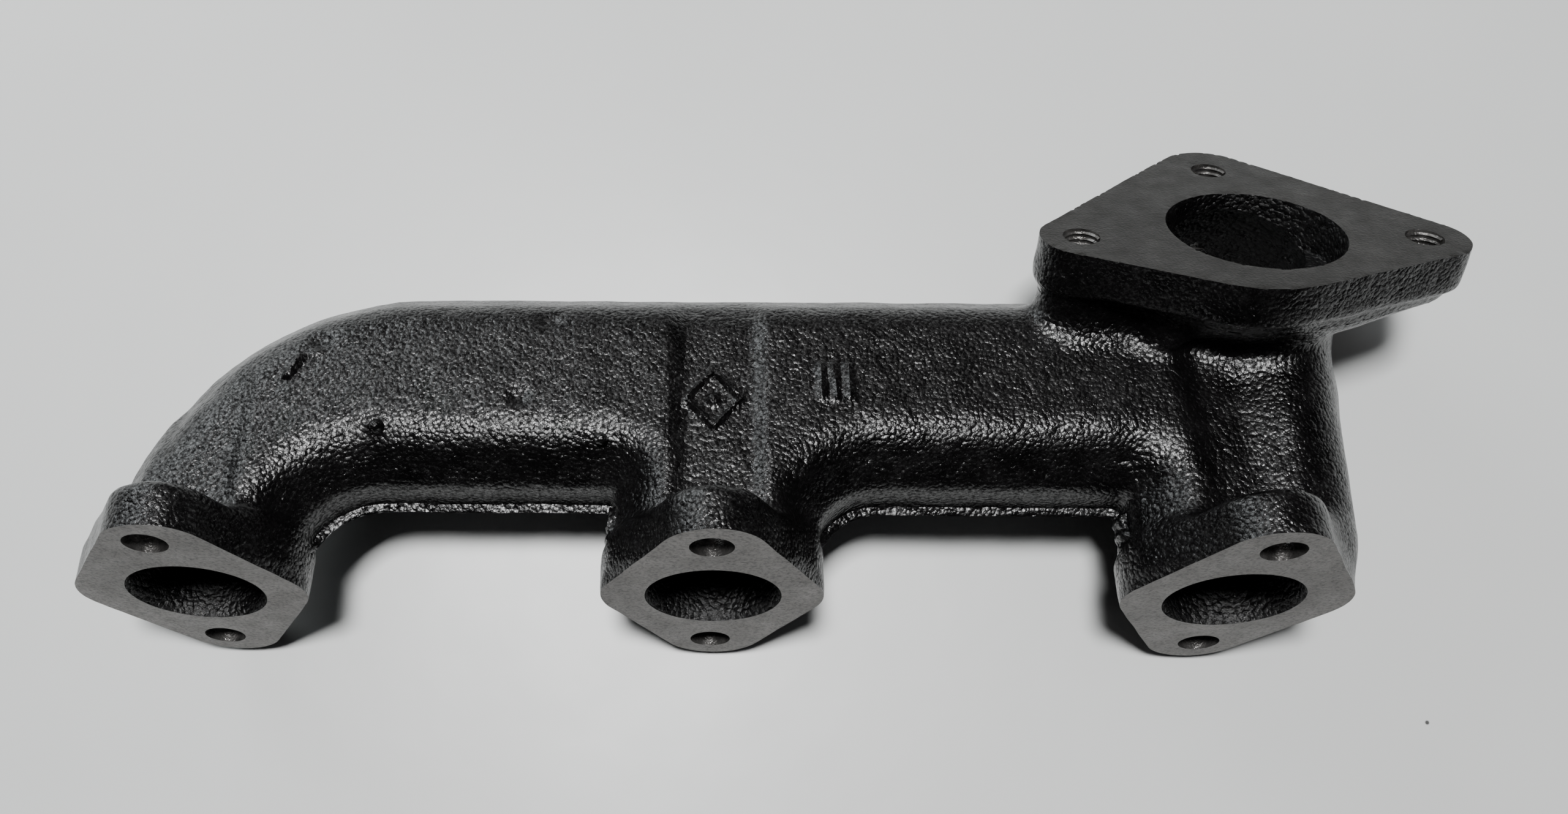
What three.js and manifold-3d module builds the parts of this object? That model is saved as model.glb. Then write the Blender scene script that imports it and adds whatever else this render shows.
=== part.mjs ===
// Exhaust manifold of a three-cylinder engine: one iron casting with three bolted port flanges,
// a log that collects the gas, and a tilted three-stud outlet flange. Millimetres, +Z up.
//
// The casting is drawn square to its port faces (X along the row of ports, Y from the port
// faces into the casting, Z along the bolts of one flange). It is then laid down the way it
// rests on a bench: on the lower edges of the port flanges and on the back of the log.
// The real part is one casting. Here it is cut into its named sections, with a hairline
// SECTION_GAP between them, so that each section is a simple hollow solid of its own.

import * as THREE from 'three';
import { ConvexGeometry } from 'three/addons/geometries/ConvexGeometry.js';
import { mergeVertices } from 'three/addons/utils/BufferGeometryUtils.js';
import Module from 'manifold-3d';

// ---- driving dimensions -------------------------------------------------------------------

const PORT_COUNT = 3;
const DRILL_PITCH = 130;          // from port to port, as the bolt holes are drilled
const CAST_PITCH = 128.4;         // the casting shrank a little more than the drilling jig expects
const CAST_SHIFT = 0.5;

const PORT_RADIUS = 17;
const PORT_FLANGE_THICKNESS = 12;
const PORT_BOLT_SPACING = 60.7;   // between the two bolts of one flange
const PORT_BOLT_HOLE_RADIUS = 5.25;
const PORT_FLANGE_END = { offset: 28, radius: 13 };      // rounded ends, round the bolts
const PORT_FLANGE_SIDE = { offset: 12, radius: 15.5 };   // rounded flanks, beside the port

const WALL = 6;
// The runners and the log are cast in two half moulds that meet on the plane Z = 0. From that
// plane the flanks stand upright for band, then lean in by lean on the way to height.
const BODY = {
  inset: 0,
  start: 4,
  top: { band: 10, height: 22.5, lean: 11 },
  bottom: { band: 2, height: 22.5, lean: 12 },
};
const PASSAGE = {
  inset: WALL,
  start: 14,
  top: { band: 7, height: 17, lean: 9 },
  bottom: { band: 1, height: 17, lean: 9.5 },
};
const LOG_FRONT = 24;
const LOG_BACK = 81.5;
const OUTLINE_START = -30;
const RUNNER_HALF_WIDTH = 25;
const ELBOW_RADIUS = 75;
const ELBOW_CENTRE = { x: -74, y: LOG_BACK - 75 };
const ROOT_FILLET = [20, 17];     // concave radii where runners 1 and 2 turn towards the outlet
const TIGHT_FILLET = 6;           // and on the side away from it
const END_RADIUS = 25;            // back corner of the log's closed end
const END_FOOT_X = 140;           // where its slanting wall would meet OUTLINE_START

const OUTLET_CENTRE = new THREE.Vector3(138, 86.1, 36.7);
const OUTLET_TILT = THREE.MathUtils.degToRad(27.6);      // from Z towards +Y
const OUTLET_RADIUS = 22;
const OUTLET_FLANGE_THICKNESS = 15;
const OUTLET_STUD_DRILL_RADIUS = 4.25;                   // tapping size for M10
// Corners of the outlet flange, in its own plane and from the bore's axis: a boss round each
// stud hole, and a wide belly round the bore.
const OUTLET_STUDS = [
  { x: 40.9, y: -4.2, radius: 11 },
  { x: -0.5, y: 37.4, radius: 13 },
  { x: -45.2, y: -4.6, radius: 10.5 },
];
const OUTLET_BELLY = { x: -5, y: -3, radius: 29.5 };
const CHAMBER_DEPTH = 35;         // from the outlet face down to the middle of the end chamber
const CHAMBER_RADIUS = 26.5;
const CHAMBER_BORE_RADIUS = 21;
const FLARE_DEPTH = 34;           // where the flare under the outlet flange has become round

const MIDDLE_BAND = { halfWidth: 14, height: 1.2 };      // raised strip over the middle runner

const SECTION_GAP = 0.3;
const RUNNER_CUT = 30;            // Y of the cut between the runners and the log
const LOG_CUTS = [-84, -33, 46, 97];                     // X of the cuts along the log
const NECK_CUT_DEPTH = 22;        // cut between end chamber and neck, below the outlet face
const FAR = 400;                  // past everything

const CURVE_STEPS = 6;            // steps in each arc of an outline
const ROUND_STEPS = 32;           // sides of a round bore

// ---- solids by boolean --------------------------------------------------------------------

const wasm = await Module();
wasm.setup();

function toSolid(geometry) {
  const bare = geometry.index ? geometry.toNonIndexed() : geometry.clone();
  bare.deleteAttribute('normal');
  bare.deleteAttribute('uv');
  const merged = mergeVertices(bare, 1e-4);
  return new wasm.Manifold(new wasm.Mesh({
    numProp: 3,
    vertProperties: new Float32Array(merged.attributes.position.array),
    triVerts: new Uint32Array(merged.index.array),
  }));
}

function toGeometry(solid) {
  const mesh = solid.getMesh();
  const indexed = new THREE.BufferGeometry();
  indexed.setAttribute('position', new THREE.BufferAttribute(mesh.vertProperties, 3));
  indexed.setIndex(new THREE.BufferAttribute(mesh.triVerts, 1));
  const flat = indexed.toNonIndexed();
  flat.computeVertexNormals();
  return flat;
}

const join = (solids) => solids.reduce((all, one) => all.add(one));

// A shape of straight steps, with no two corners closer than a hundredth of a millimetre.
function stepped(path) {
  const points = path.getPoints(CURVE_STEPS);
  const kept = points.filter((p, i) => p.distanceTo(points[(i + 1) % points.length]) > 0.01);
  return new THREE.Shape(kept);
}

// ---- outlines -----------------------------------------------------------------------------

// The tight outline round a ring of circles given counter-clockwise: an arc on each circle,
// joined by their common tangents.
function outlineRound(circles) {
  const leave = circles.map((from, i) => {
    const to = circles[(i + 1) % circles.length];
    const heading = Math.atan2(to.y - from.y, to.x - from.x);
    const distance = Math.hypot(to.x - from.x, to.y - from.y);
    return heading - Math.acos((from.radius - to.radius) / distance);
  });
  const shape = new THREE.Shape();
  circles.forEach((circle, i) => {
    const arrive = leave[(i + circles.length - 1) % circles.length];
    shape.absarc(circle.x, circle.y, circle.radius, arrive, leave[i], false);
  });
  return stepped(shape);
}

const castX = (port) => CAST_SHIFT + (port - 1) * CAST_PITCH;
const drillX = (port) => (port - 1) * DRILL_PITCH;

// The plan of the runners and the log, seen along Z, moved in by inset. Convex arcs shrink by
// the inset and concave ones grow by it, so the wall is even all round. The runners run on
// past the port faces, to be trimmed.
function bodyOutline(inset) {
  const front = LOG_FRONT + inset;
  const left = (port) => castX(port) - RUNNER_HALF_WIDTH + inset;
  const right = (port) => castX(port) + RUNNER_HALF_WIDTH - inset;
  const elbowRadius = ELBOW_RADIUS - inset;
  const tight = TIGHT_FILLET + inset;
  const end = { x: OUTLET_CENTRE.x, y: LOG_BACK - END_RADIUS, radius: END_RADIUS - inset };
  const foot = { x: END_FOOT_X - inset, y: OUTLINE_START };
  const bearing = Math.atan2(foot.y - end.y, foot.x - end.x);
  const tangent = bearing + Math.acos(end.radius / Math.hypot(foot.x - end.x, foot.y - end.y));

  const shape = new THREE.Shape();
  shape.moveTo(ELBOW_CENTRE.x - elbowRadius, OUTLINE_START);
  shape.lineTo(ELBOW_CENTRE.x - elbowRadius, ELBOW_CENTRE.y);
  shape.absarc(ELBOW_CENTRE.x, ELBOW_CENTRE.y, elbowRadius, Math.PI, Math.PI / 2, true);
  shape.absarc(end.x, end.y, end.radius, Math.PI / 2, tangent, true);
  shape.lineTo(foot.x, foot.y);
  for (const port of [2, 1, 0]) {
    if (port < 2) {
      const sweep = ROOT_FILLET[port] + inset;
      shape.absarc(right(port) + sweep, front - sweep, sweep, Math.PI / 2, Math.PI, false);
      shape.lineTo(right(port), OUTLINE_START);
    }
    if (port > 0) {
      shape.lineTo(left(port), OUTLINE_START);
      shape.absarc(left(port) - tight, front - tight, tight, 0, Math.PI / 2, false);
    }
  }
  return stepped(shape);
}

// ---- building blocks ----------------------------------------------------------------------

// One extrusion on both sides of the parting plane, with its flanks leaning in.
function leaningSlab(outline, { band, height, lean }) {
  const geometry = new THREE.ExtrudeGeometry(outline, {
    depth: 2 * band,
    bevelThickness: height - band,
    bevelSize: lean,
    bevelOffset: -lean,
    bevelSegments: 1,
  });
  geometry.translate(0, 0, -band);
  return toSolid(geometry);
}

function bodySolid({ inset, start, top, bottom }) {
  const outline = bodyOutline(inset);
  const above = leaningSlab(outline, top).intersect(box([-FAR, start, 0], [FAR, FAR, FAR]));
  const below = leaningSlab(outline, bottom).intersect(box([-FAR, start, -FAR], [FAR, FAR, 0]));
  return above.add(below);
}

// A round bar along Y between two stations.
function barAlongY(radius, x, z, from, to) {
  const geometry = new THREE.CylinderGeometry(radius, radius, to - from, ROUND_STEPS);
  geometry.translate(x, (from + to) / 2, z);
  return toSolid(geometry);
}

function box(low, high) {
  const geometry = new THREE.BoxGeometry(high[0] - low[0], high[1] - low[1], high[2] - low[2]);
  geometry.translate((low[0] + high[0]) / 2, (low[1] + high[1]) / 2, (low[2] + high[2]) / 2);
  return toSolid(geometry);
}

// Places a geometry drawn about the outlet's own axis: x across, y up the flange, z outwards.
function atOutlet(geometry) {
  geometry.rotateX(-OUTLET_TILT);
  geometry.translate(OUTLET_CENTRE.x, OUTLET_CENTRE.y, OUTLET_CENTRE.z);
  return geometry;
}

// A round bar along the outlet's axis, from one depth below its face to another.
function outletBar(radius, x, y, top, bottom) {
  const geometry = new THREE.CylinderGeometry(radius, radius, bottom - top, ROUND_STEPS);
  geometry.rotateX(Math.PI / 2);
  geometry.translate(x, y, -(top + bottom) / 2);
  return toSolid(atOutlet(geometry));
}

function chamberBall(radius) {
  const ball = new THREE.SphereGeometry(radius, ROUND_STEPS, ROUND_STEPS / 2);
  ball.rotateX(Math.PI / 2);
  ball.translate(0, 0, -CHAMBER_DEPTH);
  return toSolid(atOutlet(ball));
}

// The slab of space between two depths below the outlet face.
function outletSlab(top, bottom) {
  const geometry = new THREE.BoxGeometry(2 * FAR, 2 * FAR, bottom - top);
  geometry.translate(0, 0, -(top + bottom) / 2);
  return toSolid(atOutlet(geometry));
}

function portFlange(port) {
  const { offset: end, radius: endRadius } = PORT_FLANGE_END;
  const { offset: side, radius: sideRadius } = PORT_FLANGE_SIDE;
  const middle = castX(port);
  const outline = outlineRound([
    { x: Math.max(middle, drillX(port)) + side, y: 0, radius: sideRadius },
    { x: middle, y: end, radius: endRadius },
    { x: Math.min(middle, drillX(port)) - side, y: 0, radius: sideRadius },
    { x: middle, y: -end, radius: endRadius },
  ]);
  const plate = new THREE.ExtrudeGeometry(outline, {
    depth: PORT_FLANGE_THICKNESS, bevelEnabled: false,
  });
  plate.rotateX(Math.PI / 2);
  plate.translate(0, PORT_FLANGE_THICKNESS, 0);
  return toSolid(plate);
}

function outletFlange() {
  const plate = new THREE.ExtrudeGeometry(outlineRound([...OUTLET_STUDS, OUTLET_BELLY]), {
    depth: OUTLET_FLANGE_THICKNESS, bevelEnabled: false,
  });
  plate.translate(0, 0, -OUTLET_FLANGE_THICKNESS);
  return toSolid(atOutlet(plate));
}

// The flare that carries the flange's corners down into the round neck.
function outletFlare() {
  const underside = outlineRound([...OUTLET_STUDS, OUTLET_BELLY]).getPoints();
  const ring = new THREE.Path().absarc(0, 0, CHAMBER_RADIUS, 0, 2 * Math.PI, false).getPoints(ROUND_STEPS / 4);
  const points = [
    ...underside.map((p) => new THREE.Vector3(p.x * 0.94, p.y * 0.94, -OUTLET_FLANGE_THICKNESS)),
    ...ring.map((p) => new THREE.Vector3(p.x, p.y, -FLARE_DEPTH)),
  ];
  return toSolid(atOutlet(new ConvexGeometry(points)));
}

// ---- the casting --------------------------------------------------------------------------

const ports = Array.from({ length: PORT_COUNT }, (_, port) => port);

const band = box(
  [CAST_SHIFT - MIDDLE_BAND.halfWidth, PORT_FLANGE_THICKNESS - 2, 0],
  [CAST_SHIFT + MIDDLE_BAND.halfWidth, LOG_BACK - BODY.top.lean, BODY.top.height + MIDDLE_BAND.height],
);

const outside = join([
  bodySolid(BODY),
  band,
  ...ports.map(portFlange),
  outletBar(CHAMBER_RADIUS, 0, 0, OUTLET_FLANGE_THICKNESS, CHAMBER_DEPTH),
  chamberBall(CHAMBER_RADIUS),
  outletFlare(),
  outletFlange(),
]);

const BOLT_Z = PORT_BOLT_SPACING / 2;
const passages = join([
  bodySolid(PASSAGE),
  ...ports.map((port) => barAlongY(PORT_RADIUS, castX(port), 0, -1, LOG_FRONT)),
  ...ports.flatMap((port) => [-BOLT_Z, BOLT_Z].map(
    (z) => barAlongY(PORT_BOLT_HOLE_RADIUS, drillX(port), z, -1, LOG_FRONT + 1))),
  outletBar(OUTLET_RADIUS, 0, 0, -1, CHAMBER_DEPTH),
  chamberBall(CHAMBER_BORE_RADIUS),
  ...OUTLET_STUDS.map((stud) => outletBar(
    OUTLET_STUD_DRILL_RADIUS, stud.x, stud.y, -1, OUTLET_FLANGE_THICKNESS + 1)),
]);

const casting = outside.subtract(passages);

// ---- sections -----------------------------------------------------------------------------

const half = SECTION_GAP / 2;
const backOfFlanges = PORT_FLANGE_THICKNESS + half;
const underOutlet = outletSlab(OUTLET_FLANGE_THICKNESS + half, FAR);

function between(xFrom, xTo, yFrom, yTo) {
  return box([xFrom + half, yFrom + half, -FAR], [xTo - half, yTo - half, FAR]);
}

const [elbowCut, middleCut, rightCut, endCut] = LOG_CUTS;
const body = casting.intersect(underOutlet);
const chamberZone = body.intersect(between(endCut, FAR, RUNNER_CUT, FAR));
const neckSlab = outletSlab(OUTLET_FLANGE_THICKNESS, NECK_CUT_DEPTH - half);
const chamberSlab = outletSlab(NECK_CUT_DEPTH + half, FAR);

const sections = {
  port_flange_1: casting.intersect(between(-FAR, -DRILL_PITCH / 2, -FAR, backOfFlanges)),
  port_flange_2: casting.intersect(between(-DRILL_PITCH / 2, DRILL_PITCH / 2, -FAR, backOfFlanges)),
  port_flange_3: casting.intersect(between(DRILL_PITCH / 2, FAR, -FAR, backOfFlanges)),
  runner_1: body.intersect(between(-FAR, elbowCut, backOfFlanges, RUNNER_CUT)),
  runner_2: body.intersect(between(middleCut, rightCut, backOfFlanges, RUNNER_CUT)),
  runner_3: body.intersect(between(endCut, FAR, backOfFlanges, RUNNER_CUT)),
  log_elbow: body.intersect(between(-FAR, elbowCut, RUNNER_CUT, FAR)),
  log_left: body.intersect(between(elbowCut, middleCut, backOfFlanges, FAR)),
  log_middle: body.intersect(between(middleCut, rightCut, RUNNER_CUT, FAR)),
  log_right: body.intersect(between(rightCut, endCut, backOfFlanges, FAR)),
  end_chamber: chamberZone.intersect(chamberSlab),
  outlet_neck: chamberZone.intersect(neckSlab),
  outlet_flange: casting.intersect(outletSlab(-1, OUTLET_FLANGE_THICKNESS - half)),
};

// ---- laying it down -----------------------------------------------------------------------

// The casting is tipped about X until it rests on the lower back edges of the port flanges and
// on whatever stands lowest behind them. The origin goes to the middle of its underside.
const footY = PORT_FLANGE_THICKNESS;
const footZ = -(PORT_FLANGE_END.offset + PORT_FLANGE_END.radius);
const corners = casting.getMesh().vertProperties;
let restTilt = Math.PI / 2;
for (let i = 0; i < corners.length; i += 3) {
  const behind = corners[i + 1] - footY;
  if (behind > 1) restTilt = Math.min(restTilt, Math.atan2(corners[i + 2] - footZ, behind));
}

const tipped = (solid) => solid.rotate([-THREE.MathUtils.radToDeg(restTilt), 0, 0]);
const extent = tipped(casting).boundingBox();
const origin = [
  (extent.min[0] + extent.max[0]) / 2,
  (extent.min[1] + extent.max[1]) / 2,
  extent.min[2],
];
const laidDown = (solid) => tipped(solid).translate(origin.map((along) => -along));

// ---- finishes -----------------------------------------------------------------------------

const castIron = () => new THREE.MeshStandardMaterial({ color: 0x1d1c20, roughness: 0.45, metalness: 0.6 });
const group = new THREE.Group();

for (const [name, solid] of Object.entries(sections)) {
  const mesh = new THREE.Mesh(toGeometry(laidDown(solid)), castIron());
  mesh.name = name;
  group.add(mesh);
}

export default group;
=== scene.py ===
"""Looks for a bare cast-iron exhaust manifold lying on a white bench.

The casting is described as a field: a function that is negative inside the iron and grows
outwards in millimetres. Smooth unions give the fillets of a sand casting, and sharp cuts give
the machined faces, bores and bolt holes. The field is meshed by dual contouring, one closed
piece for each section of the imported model, and each piece stands for that section.

The field is written in the casting's own frame, in millimetres: X along the row of ports, Y
from the port faces into the casting, Z along the bolts of one flange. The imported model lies
tipped about X, the way the part rests, so the finished vertices are tipped the same way.
"""

import math

import bpy
import numpy as np
from mathutils import Matrix, Vector


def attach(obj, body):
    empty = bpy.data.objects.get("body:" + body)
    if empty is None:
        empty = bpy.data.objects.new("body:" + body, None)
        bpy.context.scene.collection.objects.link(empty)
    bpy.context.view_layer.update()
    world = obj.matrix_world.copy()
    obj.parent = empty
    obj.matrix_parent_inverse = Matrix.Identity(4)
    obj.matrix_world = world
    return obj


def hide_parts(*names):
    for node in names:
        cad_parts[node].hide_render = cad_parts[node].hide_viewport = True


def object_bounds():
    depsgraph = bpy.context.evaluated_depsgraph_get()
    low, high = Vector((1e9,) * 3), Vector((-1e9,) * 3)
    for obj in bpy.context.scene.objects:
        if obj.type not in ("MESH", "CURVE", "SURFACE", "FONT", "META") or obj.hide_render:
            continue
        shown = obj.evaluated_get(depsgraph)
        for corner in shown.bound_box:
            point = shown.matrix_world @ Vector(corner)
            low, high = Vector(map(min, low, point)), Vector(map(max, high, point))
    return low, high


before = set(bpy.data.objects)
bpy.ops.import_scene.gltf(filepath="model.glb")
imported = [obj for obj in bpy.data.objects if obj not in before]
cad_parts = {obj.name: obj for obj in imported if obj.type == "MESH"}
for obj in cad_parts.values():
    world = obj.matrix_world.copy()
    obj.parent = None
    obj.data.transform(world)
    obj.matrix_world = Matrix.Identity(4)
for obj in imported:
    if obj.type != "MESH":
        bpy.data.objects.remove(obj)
cad_low, cad_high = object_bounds()

CELL = 1.0     # mesh size, mm
LATTICE_SHIFT = 0.37                  # keeps the grid's nodes off the flat cuts

# ---- the casting's sizes, mm ---------------------------------------------------------------

PORTS = (0, 1, 2)
DRILL_PITCH = 130.0
CAST_PITCH = 128.4
CAST_SHIFT = 0.5
PORT_RADIUS = 17.0
PORT_FLANGE = 12.0
BOLT_Z = 30.35
BOLT_RADIUS = 5.25
FLANGE_END = (28.0, 13.0)             # offset and radius of the flange outline's rounded ends
FLANGE_SIDE = (12.0, 15.5)            # and of its rounded flanks

WALL = 6.0
LOG_FRONT = 24.0
LOG_BACK = 81.5
RUNNER_HALF = 25.0
ELBOW_RADIUS = 75.0
ELBOW_X = -74.0
ROOT_FILLET = (20.0, 17.0)
TIGHT_FILLET = 2.5
END_RADIUS = 25.0
END_FOOT_X = 140.0
OUTLINE_START = -30.0
TOP = (10.0, 22.5, 11.0)              # upright band, height and lean of the flanks, above Z = 0
BOTTOM = (2.0, 22.5, 12.0)            # and below it
TOP_BORE = (7.0, 17.0, 9.0)
BOTTOM_BORE = (1.0, 17.0, 9.5)

OUTLET = np.array([138.0, 86.1, 36.7])
OUTLET_TILT = math.radians(27.6)
OUTLET_RADIUS = 22.0
OUTLET_FLANGE = 15.0
STUDS = ((40.9, -4.2, 11.0), (-0.5, 37.4, 13.0), (-45.2, -4.6, 10.5))
BELLY = (-5.0, -3.0, 29.5)
TAPPED_RADIUS = 4.25
THREAD_PITCH = 1.5
OUTLET_EDGE = 11.8                    # what shows of its rim above the neck's fillet
CHAMBER_RADIUS = 26.0
CHAMBER_BORE = 20.5
CHAMBER_X = 138.0
CHAMBER_Y = 85.0

NECK_FILLET = 10.0
NECK_FOOT = -16.0
WEB_END = (122.0, 79.0)               # how far right and back the web under the flange runs
SHOULDER = ((142, 14, 6), (145.5, 68, 8.5), 16.5)   # rounds the outer side of runner 3

# Each runner's top lies a little below the log's: where the dip's sides are beside the
# runner's middle, the width of the slope on its right, and how deep it is. Then, runner by
# runner, how far back it runs, the length over which it fades, and the width of its left slope.
DIP_SIDES = (-9.4, 8.9)
DIP_SLOPE = 5.2
DIP_DEPTH = 1.7
DIP_REACH = ((46, 12, 5.0), (70, 8, 5.5), (90, 8, 9.0))

# Blemishes on the top, as place and radius or as two ends, and the broken gates
BEADS = (((-101.2, 57.9, 22.2), 1.7), ((-83.5, 35.4, 22.3), 1.6), ((-27.7, 32.4, 22.2), 1.5))
DENTS = (((-48.6, 44.4, 25.2), 3.6), ((-42.3, 67.5, 26.5), 5.2), ((-100.5, 60.5, 25.5), 4.2))
SCARS = (((-107, 49.5, 23.0), (-104.5, 55, 23.0)), ((98.5, 62.5, 23.0), (102.0, 60.5, 23.0)))
GATE_STUBS = ((104.3, 16.5, 1.0), (-24.6, 17.5, 1.0))
MARK_X, MARK_Y = 0.3, 44.5            # the lozenge
BARS_X, BARS_Z = 31.0, 22.6           # the three bars
BAR_PITCH = 3.4

SKIN_LOSS = 0.15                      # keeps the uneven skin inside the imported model
BENCH_GAP = 0.35
END_GAP = 0.1

RUNNER_CUT = 30.0
LOG_CUTS = (-84.0, -33.0, 46.0, 97.0)
NECK_CUT = 22.0

FIELD_BOX = (-160, -4, -44), (193, 134, 55)
COARSE_CELL = 4.0
MARGIN = 6.0                          # round a section, in its grid


def cast_x(port):
    return CAST_SHIFT + (port - 1) * CAST_PITCH


def drill_x(port):
    return (port - 1) * DRILL_PITCH


# The part rests on the lower back edges of its port flanges and on the log's lower back edge.
FOOT_Z = -(FLANGE_END[0] + FLANGE_END[1])
REST_TILT = math.atan2(-BOTTOM[1] - FOOT_Z, LOG_BACK - BOTTOM[2] - PORT_FLANGE)
COS, SIN = math.cos(REST_TILT), math.sin(REST_TILT)
TIPPED_LOW = np.array([
    -(DRILL_PITCH + FLANGE_SIDE[0] + FLANGE_SIDE[1]),
    FOOT_Z * SIN,
    FOOT_Z * COS - PORT_FLANGE * SIN,
])
ORIGIN = TIPPED_LOW - 1000 * np.array(cad_low)


def to_row(points):
    """Casting frame, mm, to the row frame, metres."""
    x, y, z = np.asarray(points, float).T
    return (np.column_stack([x, y * COS + z * SIN, z * COS - y * SIN]) - ORIGIN) / 1000


# ---- outlines ------------------------------------------------------------------------------

def arc(centre, radius, start, end):
    steps = max(2, int(abs(end - start) / math.radians(4)) + 1)
    angle = np.linspace(start, end, steps)
    return np.column_stack([
        centre[0] + radius * np.cos(angle),
        centre[1] + radius * np.sin(angle),
    ])


def body_outline():
    """Plan of the runners and the log, seen along Z."""
    end = (OUTLET[0], LOG_BACK - END_RADIUS)
    reach = (END_FOOT_X - end[0], OUTLINE_START - end[1])
    tangent = math.atan2(reach[1], reach[0]) + math.acos(END_RADIUS / math.hypot(*reach))
    pieces = [
        [(ELBOW_X - ELBOW_RADIUS, OUTLINE_START)],
        arc((ELBOW_X, LOG_BACK - ELBOW_RADIUS), ELBOW_RADIUS, math.pi, math.pi / 2),
        arc(end, END_RADIUS, math.pi / 2, tangent),
        [(END_FOOT_X, OUTLINE_START)],
    ]
    for port in reversed(PORTS):
        right, left = cast_x(port) + RUNNER_HALF, cast_x(port) - RUNNER_HALF
        if port < 2:
            sweep = ROOT_FILLET[port]
            pieces.append(arc((right + sweep, LOG_FRONT - sweep), sweep, math.pi / 2, math.pi))
            pieces.append([(right, OUTLINE_START)])
        if port > 0:
            pieces.append([(left, OUTLINE_START)])
            corner = (left - TIGHT_FILLET, LOG_FRONT - TIGHT_FILLET)
            pieces.append(arc(corner, TIGHT_FILLET, 0, math.pi / 2))
    return np.vstack(pieces)


def hull_outline(circles):
    """The tight outline round circles (x, y, radius), given counter-clockwise."""
    leave = []
    for (x0, y0, r0), (x1, y1, r1) in zip(circles, circles[1:] + circles[:1]):
        swing = math.acos((r0 - r1) / math.hypot(x1 - x0, y1 - y0))
        leave.append(math.atan2(y1 - y0, x1 - x0) - swing)
    pieces = []
    for i, (x, y, radius) in enumerate(circles):
        arrive = leave[i - 1]
        sweep = (leave[i] - arrive) % (2 * math.pi)
        pieces.append(arc((x, y), radius, arrive, arrive + sweep))
    return np.vstack(pieces)


def outline_distance(corners, u, v):
    """Signed distance to a closed outline: negative inside."""
    nearest = np.full(np.broadcast(u, v).shape, 1e9, np.float32)
    inside = np.zeros(nearest.shape, bool)
    for (ax, ay), (bx, by) in zip(corners, np.roll(corners, -1, axis=0)):
        ex, ey = bx - ax, by - ay
        length = ex * ex + ey * ey
        if length < 1e-9:
            continue
        along = np.clip(((u - ax) * ex + (v - ay) * ey) / length, 0, 1)
        nearest = np.minimum(nearest, (u - ax - along * ex) ** 2 + (v - ay - along * ey) ** 2)
        if abs(ey) > 1e-9:
            inside ^= ((ay > v) != (by > v)) & (u < ax + ex * (v - ay) / ey)
    return np.where(inside, -1, 1) * np.sqrt(nearest)


# ---- field blocks --------------------------------------------------------------------------

def smooth_max(a, b, k):
    h = np.maximum(k - np.abs(a - b), 0) / k
    return np.maximum(a, b) + h * h * k / 4


def smooth_min(a, b, k):
    return -smooth_max(-a, -b, k)


def leaning(d, z, profile, k, k_band=2.0):
    """Flank of one half mould: d is the plan distance, z the height above the parting plane."""
    band, height, lean = profile
    length = math.hypot(height - band, lean)
    slope = (d * (height - band) + (z - band) * lean) / length
    return smooth_max(smooth_max(d, slope, k_band), z - height, k)


def capsule(x, y, z, start, end, radius):
    start, end = np.array(start, float), np.array(end, float)
    axis = end - start
    dot = (x - start[0]) * axis[0] + (y - start[1]) * axis[1] + (z - start[2]) * axis[2]
    along = np.clip(dot / (axis @ axis), 0, 1)
    return np.sqrt(
        (x - start[0] - along * axis[0]) ** 2
        + (y - start[1] - along * axis[1]) ** 2
        + (z - start[2] - along * axis[2]) ** 2
    ) - radius


def ball(x, y, z, centre, radius):
    return capsule(x, y, z, centre, (centre[0] + 0.5, *centre[1:]), radius)


def slab(x, y, z, centre, half, k):
    """A block with edges rounded by about k."""
    side = smooth_max(np.abs(x - centre[0]) - half[0], np.abs(y - centre[1]) - half[1], k)
    return smooth_max(side, np.abs(z - centre[2]) - half[2], k)


def ripple(x, y, z, wavelengths, height, seed):
    """Gentle unevenness: a sum of waves in scattered directions."""
    rng = np.random.default_rng(seed)
    total = 0
    for wavelength in wavelengths:
        direction = rng.normal(size=3)
        direction *= 2 * math.pi / wavelength / np.linalg.norm(direction)
        phase = rng.uniform(0, 2 * math.pi)
        total = total + np.sin(x * direction[0] + y * direction[1] + z * direction[2] + phase)
    return total * height / math.sqrt(len(wavelengths))


def outlet_axes(x, y, z):
    """Across, up the flange, and out of its face."""
    cos, sin = math.cos(OUTLET_TILT), math.sin(OUTLET_TILT)
    dy, dz = y - OUTLET[1], z - OUTLET[2]
    return x - OUTLET[0], dy * cos - dz * sin, dy * sin + dz * cos


# ---- the casting as a field ----------------------------------------------------------------

BODY_OUTLINE = body_outline()
OUTLET_OUTLINE = hull_outline([*STUDS, BELLY])


def flange_outline(port):
    middle, drilled = cast_x(port), drill_x(port)
    return hull_outline([
        (max(middle, drilled) + FLANGE_SIDE[0], 0.0, FLANGE_SIDE[1]),
        (middle, FLANGE_END[0], FLANGE_END[1]),
        (min(middle, drilled) - FLANGE_SIDE[0], 0.0, FLANGE_SIDE[1]),
        (middle, -FLANGE_END[0], FLANGE_END[1]),
    ])


def step_up(value, start, width):
    """0 below the start, 1 beyond the width, and smooth between."""
    t = np.clip((value - start) / width, 0, 1)
    return t * t * (3 - 2 * t)


def sunken(x, y):
    """How far the top of each runner lies below the top of the log."""
    depth = 0
    for port, (until, fade, slope) in zip(PORTS, DIP_REACH):
        left = cast_x(port) + DIP_SIDES[0] - slope / 2
        right = cast_x(port) + DIP_SIDES[1]
        across = step_up(x, left, slope) - step_up(x, right, DIP_SLOPE)
        depth = depth + DIP_DEPTH * across * (1 - step_up(y, until, fade))
    return depth


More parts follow.
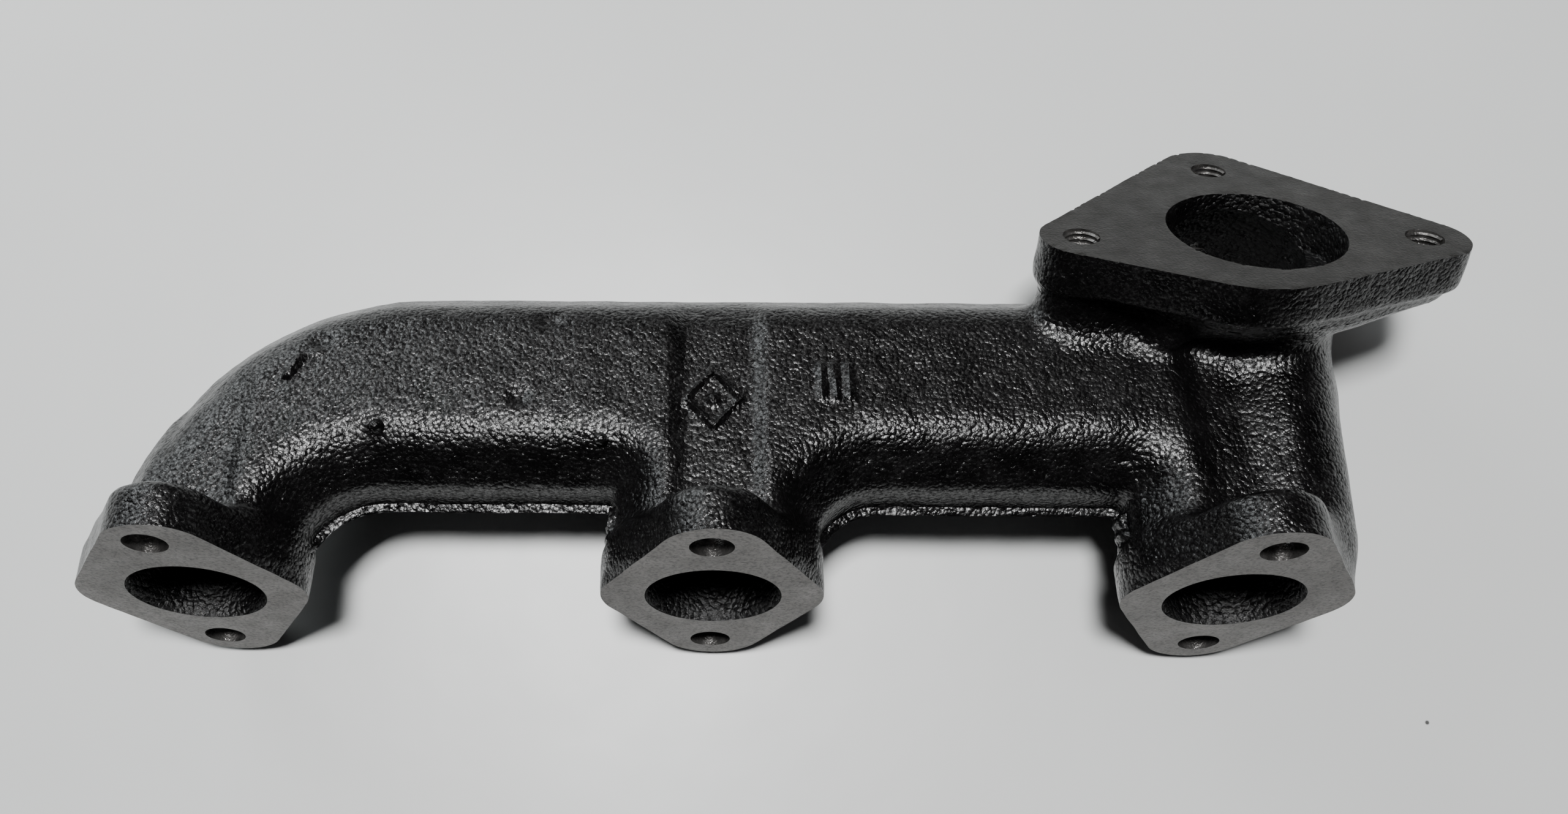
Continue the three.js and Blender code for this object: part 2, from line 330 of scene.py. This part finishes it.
def log_and_runners(plan, x, y, z):
    """The two mould halves of the log and the runners."""
    top = leaning(plan, z + sunken(x, y), TOP, 5)
    body = smooth_max(top, leaning(plan, -z, BOTTOM, 4), 1.5)
    body = smooth_max(body, 4 - y, 1)
    return smooth_min(body, capsule(x, y, z, *SHOULDER), 3)


def with_outlet(body, x, y, z):
    """Adds the end chamber's neck, the flange, and the flare and web that carry its corners."""
    across, up, out = np.broadcast_arrays(*outlet_axes(x, y, z))
    chamber = np.hypot(x - CHAMBER_X, y - CHAMBER_Y) - CHAMBER_RADIUS
    neck = smooth_max(smooth_max(chamber + 0 * z, out + 8, 2), NECK_FOOT - z, 8)
    body = smooth_min(body, neck, NECK_FILLET)

    near = (np.abs(across) < 75) & (np.abs(up) < 70) & (out > -60)
    rim = np.full(body.shape, 50.0, np.float32)
    rim[near] = outline_distance(OUTLET_OUTLINE, across[near], up[near])
    plate = smooth_max(smooth_max(rim, -out - OUTLET_EDGE, 2.5), out - 3, 1)

    # the flare goes from the flange's outline to the neck's, more slowly on the left
    fall = step_up(-out, OUTLET_EDGE - 5, 20) ** (1 + 1.5 * step_up(across, 5, 20))
    flare = (1 - fall) * (rim + 2) + fall * chamber
    flare = smooth_max(smooth_max(flare, out + 11, 2), -out - 32, 2)

    inset = 1.5 + 5.5 * step_up(x, 90, 18)
    web = smooth_max(smooth_max(rim + inset, np.abs(out + 16) - 8, 2), x - WEB_END[0], 8)
    body = smooth_min(body, np.maximum(web, y - WEB_END[1]), 5)
    return smooth_min(body, smooth_min(flare, plate, 2), 4)


def port_flange(port, x, y, z):
    rim = outline_distance(flange_outline(port), x[:, 0, :], z[:, 0, :])[:, None, :]
    return smooth_max(smooth_max(rim, y - PORT_FLANGE, 3.5), -3 - y, 1)


def with_flash(body, plan, x, y, z):
    """Adds flash along the parting plane, and the stubs where the gates were broken off."""
    ragged = 0.5 * np.sin(x * 0.31) * np.sin(x * 0.113 + 1) + 0.3 * np.sin(y * 0.4)
    flash = slab(plan - 0.2 - ragged * 0.15, 0 * y, z, (0, 0, -0.2), (1.3, 9, 0.85), 0.3)
    body = smooth_min(body, np.maximum(flash, PORT_FLANGE - y), 0.4)
    for centre in GATE_STUBS:
        stub = slab(x, y, z, centre, (1.9, 5.2, 3.4), 1.2)
        stub = stub + ripple(x, y, z, (2.6, 3.1, 3.7, 4.3), 0.35, 5)
        body = smooth_min(body, stub, 0.8)
    return body


def blemished(body, x, y, z):
    """The skin with the mould's small lumps and dents, and two plain foundry marks."""
    for centre, radius in BEADS:
        body = smooth_min(body, ball(x, y, z, centre, radius), 1.5)
    for centre, radius in DENTS:
        body = smooth_max(body, -ball(x, y, z, centre, radius), 1.2)
    for start, end in SCARS:
        body = smooth_min(body, capsule(x, y, z, start, end, 1.0), 1.2)
    lozenge = (np.abs(x - MARK_X) / 7.0 + np.abs(y - MARK_Y) / 8.0 - 1) * 5.2
    frame_rib = np.maximum(np.abs(lozenge) - 0.75, np.abs(z - 20.6) - 1.6)
    body = smooth_min(body, frame_rib, 0.5)
    dot = capsule(x, y, z, (MARK_X, MARK_Y, 20.3), (MARK_X, MARK_Y + 0.1, 20.3), 2.0)
    body = smooth_min(body, dot, 0.5)
    for offset in (-BAR_PITCH, 0.0, BAR_PITCH):
        foot = (BARS_X + offset, 44.5, BARS_Z)
        head = (BARS_X - 0.3 + offset, 53.5, BARS_Z)
        body = smooth_min(body, capsule(x, y, z, foot, head, 1.0), 1.0)
    return body


def cast_skin(x, y, z):
    """The outside of the casting as it left the mould, before machining."""
    plan = outline_distance(BODY_OUTLINE, x[:, :, 0], y[:, :, 0])[:, :, None]
    body = log_and_runners(plan, x, y, z)
    body = with_outlet(body, x, y, z)
    for port in PORTS:
        body = smooth_min(body, port_flange(port, x, y, z), 5)
    body = with_flash(body, plan, x, y, z)
    body = blemished(body, x, y, z)
    waves = ripple(x, y, z, (31, 24, 19, 15, 12), 0.08, 1)
    uneven = waves + ripple(x, y, z, (8, 6.6, 5.4, 4.6, 4.1), 0.03, 2)
    body = body + uneven + SKIN_LOSS

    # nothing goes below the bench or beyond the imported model's ends
    height = z * COS - y * SIN - ORIGIN[2]
    body = np.maximum(body, BENCH_GAP - height)
    return np.maximum(body, np.abs(x - ORIGIN[0]) - 1000 * cad_high[0] + END_GAP)


def cast_hollow(x, y, z):
    """The gas passage as the sand core left it."""
    plan = outline_distance(BODY_OUTLINE, x[:, :, 0], y[:, :, 0])[:, :, None] + WALL
    log = smooth_max(leaning(plan, z, TOP_BORE, 4), leaning(plan, -z, BOTTOM_BORE, 4), 2)
    log = smooth_max(log, 14 - y, 1)
    neck = capsule(x, y, z, (CHAMBER_X, CHAMBER_Y, 3), (CHAMBER_X, CHAMBER_Y, 14), CHAMBER_BORE)
    hollow = smooth_min(log, neck, 5)
    for port in PORTS:
        throat = capsule(x, y, z, (cast_x(port), 8, 0), (cast_x(port), 17, 0), PORT_RADIUS - 0.4)
        hollow = smooth_min(hollow, np.maximum(throat, 4 - y), 4)
    return hollow + ripple(x, y, z, (9, 7, 6, 5, 4.2), 0.22, 3)


def cut_fields(x, y, z):
    """What the machine tools took away, as fields that are positive where they cut."""
    across, up, out = outlet_axes(x, y, z)
    cuts = {"port_face": -y + 0 * x + 0 * z, "outlet_face": out}
    for port in PORTS:
        bore = PORT_RADIUS - np.hypot(x - cast_x(port), z) + 0 * y
        lip = 1.0 - y
        cuts[f"bore_{port}"] = np.minimum(bore + np.clip(lip, -1, 1) * 0.3 - 0.3, 9 - y)
        for z0 in (-BOLT_Z, BOLT_Z):
            hole = BOLT_RADIUS - np.hypot(x - drill_x(port), z - z0)
            cuts[f"bolt_{port}_{z0:.0f}"] = np.minimum(hole, 25 - y)
    cuts["outlet_bore"] = np.minimum(OUTLET_RADIUS - np.hypot(across, up), out + 11)
    for i, (u, v, _) in enumerate(STUDS):
        hole = TAPPED_RADIUS + 0.35 - np.hypot(across - u, up - v)
        cuts[f"tapped_{i}"] = np.minimum(hole, out + 22)
    return cuts


# ---- dual contouring -----------------------------------------------------------------------

EDGE_CELLS = {
    0: ((0, 0, 0), (0, -1, 0), (0, -1, -1), (0, 0, -1)),
    1: ((0, 0, 0), (0, 0, -1), (-1, 0, -1), (-1, 0, 0)),
    2: ((0, 0, 0), (-1, 0, 0), (-1, -1, 0), (0, -1, 0)),
}


def contour(fields, low):
    """Meshes max(fields) = 0. Returns vertices, quads, and which field made each quad."""
    slopes = [np.gradient(f, CELL) for f in fields]
    total = np.maximum.reduce(fields)
    shape = np.array(total.shape)
    inside = total < 0
    stack = np.stack([f.ravel() for f in fields])
    slope = [np.stack([s[a].ravel() for s in slopes]) for a in range(3)]
    del slopes
    strides = (shape[1] * shape[2], shape[2], 1)
    cell_ids, planes, quads, makers = [], [], [], []
    for axis in range(3):
        first = [slice(1, -1)] * 3
        second = [slice(1, -1)] * 3
        first[axis] = slice(0, -1)
        second[axis] = slice(1, None)
        change = inside[tuple(first)] != inside[tuple(second)]
        index = np.argwhere(change)
        index += [0 if a == axis else 1 for a in range(3)]
        start = index @ strides
        stop = start + strides[axis]
        starts_inside = inside.ravel()[start]
        inner = np.where(starts_inside, start, stop)
        outer = np.where(starts_inside, stop, start)
        a, b = stack[:, inner], stack[:, outer]
        with np.errstate(divide="ignore", invalid="ignore"):
            t = np.where(b > 0, a / (a - b), np.inf)
        maker = t.argmin(0)
        pick = (maker, np.arange(len(maker)))
        t = np.clip(t[pick], 0, 1)
        point = index.astype(float)
        point[:, axis] += np.where(starts_inside, t, 1 - t)
        normal = np.stack([s[maker, inner] * (1 - t) + s[maker, outer] * t for s in slope], 1)
        normal /= np.linalg.norm(normal, axis=1, keepdims=True) + 1e-9
        corners = []
        for offset in EDGE_CELLS[axis]:
            cell = index + offset
            corners.append(cell @ strides)
            cell_ids.append(corners[-1])
            planes.append(np.hstack([point, normal]))
        quad = np.stack(corners, 1)
        quad[~starts_inside] = quad[~starts_inside][:, ::-1]
        quads.append(quad)
        makers.append(maker)
    cell_ids, planes = np.concatenate(cell_ids), np.concatenate(planes)
    quads, makers = np.concatenate(quads), np.concatenate(makers)
    cells, member = np.unique(cell_ids, return_inverse=True)
    size = len(cells)
    hits = np.bincount(member, minlength=size)
    mass = np.stack([np.bincount(member, planes[:, a], size) for a in range(3)], 1)
    mass = mass / hits[:, None]
    normal = planes[:, 3:]
    offset = ((planes[:, :3] - mass[member]) * normal).sum(1)
    matrix = np.zeros((size, 3, 3))
    right = np.zeros((size, 3))
    for i in range(3):
        right[:, i] = np.bincount(member, normal[:, i] * offset, size)
        for j in range(3):
            matrix[:, i, j] = np.bincount(member, normal[:, i] * normal[:, j], size)
    matrix += np.eye(3) * 0.03
    shift = np.linalg.solve(matrix, right[:, :, None])[:, :, 0]
    corner = np.stack(np.unravel_index(cells, shape), 1)
    place = np.clip(mass + shift, corner + 0.02, corner + 0.98)
    quads = np.searchsorted(cells, quads)
    return place * CELL + low, quads, makers


# ---- sections ------------------------------------------------------------------------------

def section_planes():
    """The planes, as outward normal and offset, that cut each section from the casting."""
    slant = (0.0, math.sin(OUTLET_TILT), math.cos(OUTLET_TILT))
    level = float(np.dot(slant, OUTLET))
    elbow, middle, rightward, end = LOG_CUTS
    flange_back = PORT_FLANGE + 0.15

    def left(x):
        return (-1, 0, 0), -x

    def right(x):
        return (1, 0, 0), x

    def front(y):
        return (0, -1, 0), -y

    def back(y):
        return (0, 1, 0), y

    def beneath(depth):
        return slant, level - depth

    def above(depth):
        return tuple(-s for s in slant), depth - level

    under_flange = beneath(OUTLET_FLANGE)
    return {
        "port_flange_1": [right(-70), back(flange_back)],
        "port_flange_2": [left(-70), right(60), back(flange_back)],
        "port_flange_3": [left(60), back(flange_back)],
        "runner_1": [right(elbow), front(flange_back), back(RUNNER_CUT)],
        "runner_2": [left(middle), right(rightward), front(flange_back), back(RUNNER_CUT)],
        "runner_3": [left(end), front(flange_back), back(RUNNER_CUT), under_flange],
        "log_elbow": [right(elbow), front(RUNNER_CUT)],
        "log_left": [left(elbow), right(middle), front(flange_back)],
        "log_middle": [left(middle), right(rightward), front(RUNNER_CUT)],
        "log_right": [left(rightward), right(end), front(flange_back), under_flange],
        "end_chamber": [left(end), front(RUNNER_CUT), beneath(NECK_CUT)],
        "outlet_neck": [left(end), front(RUNNER_CUT), above(NECK_CUT), under_flange],
        "outlet_flange": [above(OUTLET_FLANGE)],
    }


def lattice(low, high, step):
    """Coordinates of a grid whose nodes fall on one lattice, whatever box is asked for."""
    ranges = [
        np.arange(math.floor(a / step), math.ceil(b / step) + 1) * step + LATTICE_SHIFT
        for a, b in zip(low, high)
    ]
    return np.meshgrid(*ranges, indexing="ij", sparse=True)


def casting_fields(x, y, z):
    """Every field of the casting, spread over the whole grid."""
    fields = {"skin": cast_skin(x, y, z), "hollow": -cast_hollow(x, y, z), **cut_fields(x, y, z)}
    shape = np.broadcast(x, y, z).shape
    return {k: np.broadcast_to(f, shape) for k, f in fields.items()}


def plane_field(plane, x, y, z):
    normal, offset = plane
    return normal[0] * x + normal[1] * y + normal[2] * z - offset


FINISH = {"skin": 0, "hollow": 1, "port_face": 2, "outlet_face": 3}


def finish_of(field):
    """Material number of what a field makes."""
    if field.startswith(("bore", "outlet_bore")):
        return 1
    if field.startswith(("bolt", "tapped")):
        return 4
    return FINISH.get(field, 0)


def section_mesh(name, planes, coarse):
    grid, solid = coarse
    near = np.maximum.reduce([solid] + [plane_field(p, *grid) for p in planes]) < MARGIN
    found = np.argwhere(near)
    axes = [g.ravel() for g in grid]
    low = [axes[a][found[:, a].min()] - MARGIN for a in range(3)]
    high = [axes[a][found[:, a].max()] + MARGIN for a in range(3)]
    x, y, z = lattice(low, high, CELL)
    shape = np.broadcast(x, y, z).shape
    fields = casting_fields(x, y, z)
    for i, plane in enumerate(planes):
        fields[f"cut_{i}"] = np.broadcast_to(plane_field(plane, x, y, z), shape)
    fields = {
        k: np.ascontiguousarray(f, np.float32) for k, f in fields.items() if f.max() > -2 * CELL
    }
    arrays = list(fields.values())
    start = np.array([x.ravel()[0], y.ravel()[0], z.ravel()[0]])
    vertices, quads, makers = contour(arrays, start)
    finish = np.array([finish_of(k) for k in fields])[makers]
    return vertices, quads, finish


def add_mesh(name, vertices, quads, finish, materials):
    mesh = bpy.data.meshes.new(name)
    mesh.vertices.add(len(vertices))
    mesh.vertices.foreach_set("co", np.asarray(vertices, np.float32).ravel())
    mesh.loops.add(quads.size)
    mesh.loops.foreach_set("vertex_index", quads.astype(np.int32).ravel())
    mesh.polygons.add(len(quads))
    mesh.polygons.foreach_set("loop_start", np.arange(0, quads.size, quads.shape[1], dtype=np.int32))
    mesh.polygons.foreach_set("material_index", finish.astype(np.int32))
    for material in materials:
        mesh.materials.append(material)
    mesh.update(calc_edges=True)
    mesh.validate()
    mesh.shade_smooth()
    mesh.set_sharp_from_angle(angle=math.radians(38))
    piece = bpy.data.objects.new(name, mesh)
    bpy.context.scene.collection.objects.link(piece)
    return piece


# ---- materials -----------------------------------------------------------------------------

class Nodes:
    """Short calls for wiring one material."""

    def __init__(self, name):
        self.material = bpy.data.materials.new(name)
        self.material.use_nodes = True
        self.tree = self.material.node_tree
        self.tree.nodes.clear()
        output = self.tree.nodes.new("ShaderNodeOutputMaterial")
        self.shader = self.tree.nodes.new("ShaderNodeBsdfPrincipled")
        self.tree.links.new(self.shader.outputs[0], output.inputs["Surface"])
        self.where = self.tree.nodes.new("ShaderNodeTexCoord").outputs["Object"]

    def noise(self, scale, detail=3.0, roughness=0.5, distortion=0.0):
        node = self.tree.nodes.new("ShaderNodeTexNoise")
        node.inputs["Scale"].default_value = scale
        node.inputs["Detail"].default_value = detail
        node.inputs["Roughness"].default_value = roughness
        node.inputs["Distortion"].default_value = distortion
        self.tree.links.new(self.where, node.inputs["Vector"])
        return node.outputs["Fac"]

    def cells(self, scale):
        node = self.tree.nodes.new("ShaderNodeTexVoronoi")
        node.inputs["Scale"].default_value = scale
        self.tree.links.new(self.where, node.inputs["Vector"])
        return node.outputs["Distance"]

    def span(self, value, low, high, to_low, to_high):
        node = self.tree.nodes.new("ShaderNodeMapRange")
        for socket, number in zip(node.inputs[1:5], (low, high, to_low, to_high)):
            socket.default_value = number
        self.tree.links.new(value, node.inputs[0])
        return node.outputs[0]

    def ramp(self, value, stops):
        node = self.tree.nodes.new("ShaderNodeValToRGB")
        elements = node.color_ramp.elements
        while len(elements) < len(stops):
            elements.new(0.5)
        for element, (position, colour) in zip(elements, stops):
            element.position = position
            element.color = (*colour, 1)
        self.tree.links.new(value, node.inputs[0])
        return node.outputs[0]

    def math(self, operation, a, b):
        node = self.tree.nodes.new("ShaderNodeMath")
        node.operation = operation
        for socket, value in zip(node.inputs, (a, b)):
            if isinstance(value, (int, float)):
                socket.default_value = value
            else:
                self.tree.links.new(value, socket)
        return node.outputs[0]

    def multiply(self, colour, grey):
        node = self.tree.nodes.new("ShaderNodeMix")
        node.data_type = "RGBA"
        node.blend_type = "MULTIPLY"
        node.inputs["Factor"].default_value = 1.0
        self.tree.links.new(colour, node.inputs[6])
        self.tree.links.new(grey, node.inputs[7])
        return node.outputs[2]

    def bump(self, height, distance, strength=1.0, under=None):
        node = self.tree.nodes.new("ShaderNodeBump")
        node.inputs["Strength"].default_value = strength
        node.inputs["Distance"].default_value = distance
        self.tree.links.new(height, node.inputs["Height"])
        if under is not None:
            self.tree.links.new(under, node.inputs["Normal"])
        return node.outputs[0]

    def set(self, **sockets):
        for name, value in sockets.items():
            socket = self.shader.inputs[name.replace("_", " ")]
            if isinstance(value, bpy.types.NodeSocket):
                self.tree.links.new(value, socket)
            else:
                socket.default_value = value
        return self.material


def cast_iron():
    """As-cast skin under a thin black coat: packed sand grains that glint, and duller patches."""
    n = Nodes("cast_iron_black")
    black = [(0.3, (0.0010, 0.0009, 0.0010)), (0.7, (0.0034, 0.0031, 0.0033))]
    colour = n.ramp(n.noise(70, 5, 0.6), black)
    gloss = n.span(n.noise(140, 4, 0.6), 0.35, 0.7, 0.20, 0.33)
    sand = n.cells(900)
    grain = n.bump(n.math("MULTIPLY", sand, sand), -0.00020)
    grit = n.bump(n.noise(1500, 3, 0.6), 0.00016, 1.0, grain)
    lumps = n.bump(n.noise(210, 2, 0.5), 0.0003, 1.0, grit)
    specks = n.span(n.noise(1150, 3, 0.7), 0.40, 0.62, 0.12, 1.0)
    return n.set(
        Base_Color=colour, Roughness=gloss, Normal=lumps, Metallic=0.0, IOR=1.48,
        Specular_IOR_Level=specks,
    )


def core_iron():
    """Passage walls: coarser, dull and sooty."""
    n = Nodes("cast_iron_passage")
    soot = [(0.35, (0.0008, 0.0007, 0.0008)), (0.75, (0.003, 0.0028, 0.003))]
    colour = n.ramp(n.noise(180, 4, 0.6), soot)
    gloss = n.span(n.noise(300, 3), 0.3, 0.7, 0.22, 0.45)
    sand = n.cells(800)
    grain = n.bump(n.math("MULTIPLY", sand, sand), -0.0004)
    grit = n.bump(n.noise(1300, 4, 0.6), 0.0004, 1.0, grain)
    return n.set(Base_Color=colour, Roughness=gloss, Normal=grit)


def machined(name, dark, light, pits, rough):
    """A face cut flat: bare grey iron with pores, faint smears and the cutter's fine grain."""
    n = Nodes(name)
    smear = n.ramp(n.noise(45, 4, 0.6, 0.6), [(0.3, dark), (0.72, light)])
    pores = n.span(n.noise(1100, 3, 0.7), pits - 0.18, pits + 0.05, 1.0, 0.35)
    gloss = n.span(n.noise(160, 4), 0.3, 0.7, rough - 0.06, rough + 0.08)
    grain = n.bump(n.noise(1500, 3, 0.6), 0.00016)
    return n.set(Base_Color=n.multiply(smear, pores), Roughness=gloss, Normal=grain, Metallic=0.4)


def drilled():
    n = Nodes("iron_drilled")
    colour = n.ramp(n.noise(300, 3), [(0.3, (0.05, 0.048, 0.046)), (0.7, (0.16, 0.155, 0.15))])
    gloss = n.span(n.noise(500, 3), 0.3, 0.7, 0.22, 0.42)
    grain = n.bump(n.noise(1800, 2), 0.00015)
    return n.set(Base_Color=colour, Roughness=gloss, Normal=grain, Metallic=0.8)


MATERIALS = [
    cast_iron(),
    core_iron(),
    machined("iron_port_face", (0.118, 0.112, 0.106), (0.190, 0.180, 0.172), 0.62, 0.44),
    machined("iron_outlet_face", (0.014, 0.0132, 0.012), (0.026, 0.0245, 0.0225), 0.58, 0.46),
    drilled(),
]


# ---- the casting ---------------------------------------------------------------------------

coarse_grid = lattice(*FIELD_BOX, COARSE_CELL)
coarse = coarse_grid, np.maximum.reduce(list(casting_fields(*coarse_grid).values()))

for section, planes in section_planes().items():
    vertices, quads, finish = section_mesh(section, planes, coarse)
    piece = add_mesh("iron_" + section, to_row(vertices), quads, finish, MATERIALS)
    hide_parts(section)
    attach(piece, "root")


def thread(number, u, v):
    """The thread in one tapped hole: a ridge wound down its wall."""
    cos, sin = math.cos(OUTLET_TILT), math.sin(OUTLET_TILT)
    turns = int((OUTLET_FLANGE - 2) / THREAD_PITCH)
    angle = np.linspace(0, 2 * math.pi * turns, 40 * turns)
    depth = -0.9 - angle / (2 * math.pi) * THREAD_PITCH
    root, crest = TAPPED_RADIUS + 0.6, TAPPED_RADIUS - 0.1
    rings = []
    for radius, lift in ((root, 0.66), (crest, 0.0), (root, -0.66)):
        across = u + radius * np.cos(angle)
        up = v + radius * np.sin(angle)
        out = depth + lift
        rings.append(np.column_stack([across, up * cos + out * sin, out * cos - up * sin]) + OUTLET)
    vertices = np.stack(rings, 1).reshape(-1, 3)
    step = np.arange(len(angle) - 1)[:, None] * 3
    quads = np.concatenate([
        step + np.array([a, b, b + 3, a + 3]) for a, b in ((0, 1), (1, 2), (2, 0))
    ])
    finish = np.zeros(len(quads))
    piece = add_mesh(f"outlet_thread_{number}", to_row(vertices), quads, finish, [MATERIALS[4]])
    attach(piece, "root")


for number, (u, v, _) in enumerate(STUDS, 1):
    thread(number, u, v)


# ---- bench, light and camera ---------------------------------------------------------------

def bench():
    bpy.ops.mesh.primitive_plane_add(size=6, location=(0, 0, -0.0002))
    floor = bpy.context.object
    floor.name = "bench"
    n = Nodes("bench_white")
    white = [(0.3, (0.600, 0.612, 0.606)), (0.75, (0.665, 0.674, 0.668))]
    colour = n.ramp(n.noise(3.0, 4, 0.55), white)
    gloss = n.span(n.noise(9, 4), 0.3, 0.7, 0.32, 0.42)
    grit = n.math("ADD", n.cells(24), n.span(n.noise(6, 2), 0.35, 0.65, 0.03, -0.012))
    n.set(
        Base_Color=n.multiply(colour, n.span(grit, 0.008, 0.016, 0.12, 1.0)),
        Roughness=gloss,
        Normal=n.bump(n.noise(40, 2), 0.0004, 0.4),
    )
    floor.data.materials.append(n.material)


def panel(name, place, aim, size, power, colour=(1, 1, 1)):
    """A square soft light."""
    light = bpy.data.lights.new(name, "AREA")
    light.shape = "SQUARE"
    light.size = size
    light.energy = power
    light.color = colour
    lamp = bpy.data.objects.new(name, light)
    bpy.context.scene.collection.objects.link(lamp)
    place, aim = Vector(place), Vector(aim)
    lamp.location = place
    lamp.rotation_euler = (aim - place).to_track_quat("-Z", "Y").to_euler()


def surroundings(low, high):
    """A dim room, a little lighter above."""
    world = bpy.data.worlds.new("room")
    bpy.context.scene.world = world
    world.use_nodes = True
    tree = world.node_tree
    background = tree.nodes["Background"]
    where = tree.nodes.new("ShaderNodeTexCoord")
    split = tree.nodes.new("ShaderNodeSeparateXYZ")
    ramp = tree.nodes.new("ShaderNodeValToRGB")
    ramp.color_ramp.elements[0].position = 0.7
    ramp.color_ramp.elements[0].color = (*low, 1)
    ramp.color_ramp.elements[1].position = 1.0
    ramp.color_ramp.elements[1].color = (*high, 1)
    tree.links.new(where.outputs["Generated"], split.inputs[0])
    tree.links.new(split.outputs["Z"], ramp.inputs[0])
    tree.links.new(ramp.outputs[0], background.inputs["Color"])
    background.inputs["Strength"].default_value = 1.0


bench()
surroundings((0.003, 0.003, 0.003), (0.08, 0.08, 0.085))
panel("overhead", (-0.12, 0.17, 1.7), (0, 0, 0), 0.28, 44)
panel("back_wall", (-0.40, 1.25, 1.15), (0, 0, 0), 1.3, 4.0, (1.0, 0.98, 0.97))
panel("window_light", (-0.95, 1.0, 0.62), (0, 0, 0), 0.7, 8.5, (0.93, 0.98, 1.0))

EYE = Vector((-0.01823, -0.07931, 0.38069))
AIM = Vector((-0.02237, -0.00132, 0.0))
ROLL = math.radians(-2.635)

lens = bpy.data.cameras.new("camera")
lens.sensor_width = 36
lens.lens = 31.08
lens.shift_x = 0.0603                 # the object sits off the lens's own centre
lens.clip_start = 0.01
camera = bpy.data.objects.new("camera", lens)
bpy.context.scene.collection.objects.link(camera)
towards = (AIM - EYE).to_track_quat("-Z", "Y").to_matrix().to_4x4()
camera.matrix_world = Matrix.Translation(EYE) @ towards @ Matrix.Rotation(ROLL, 4, "Z")
bpy.context.scene.camera = camera
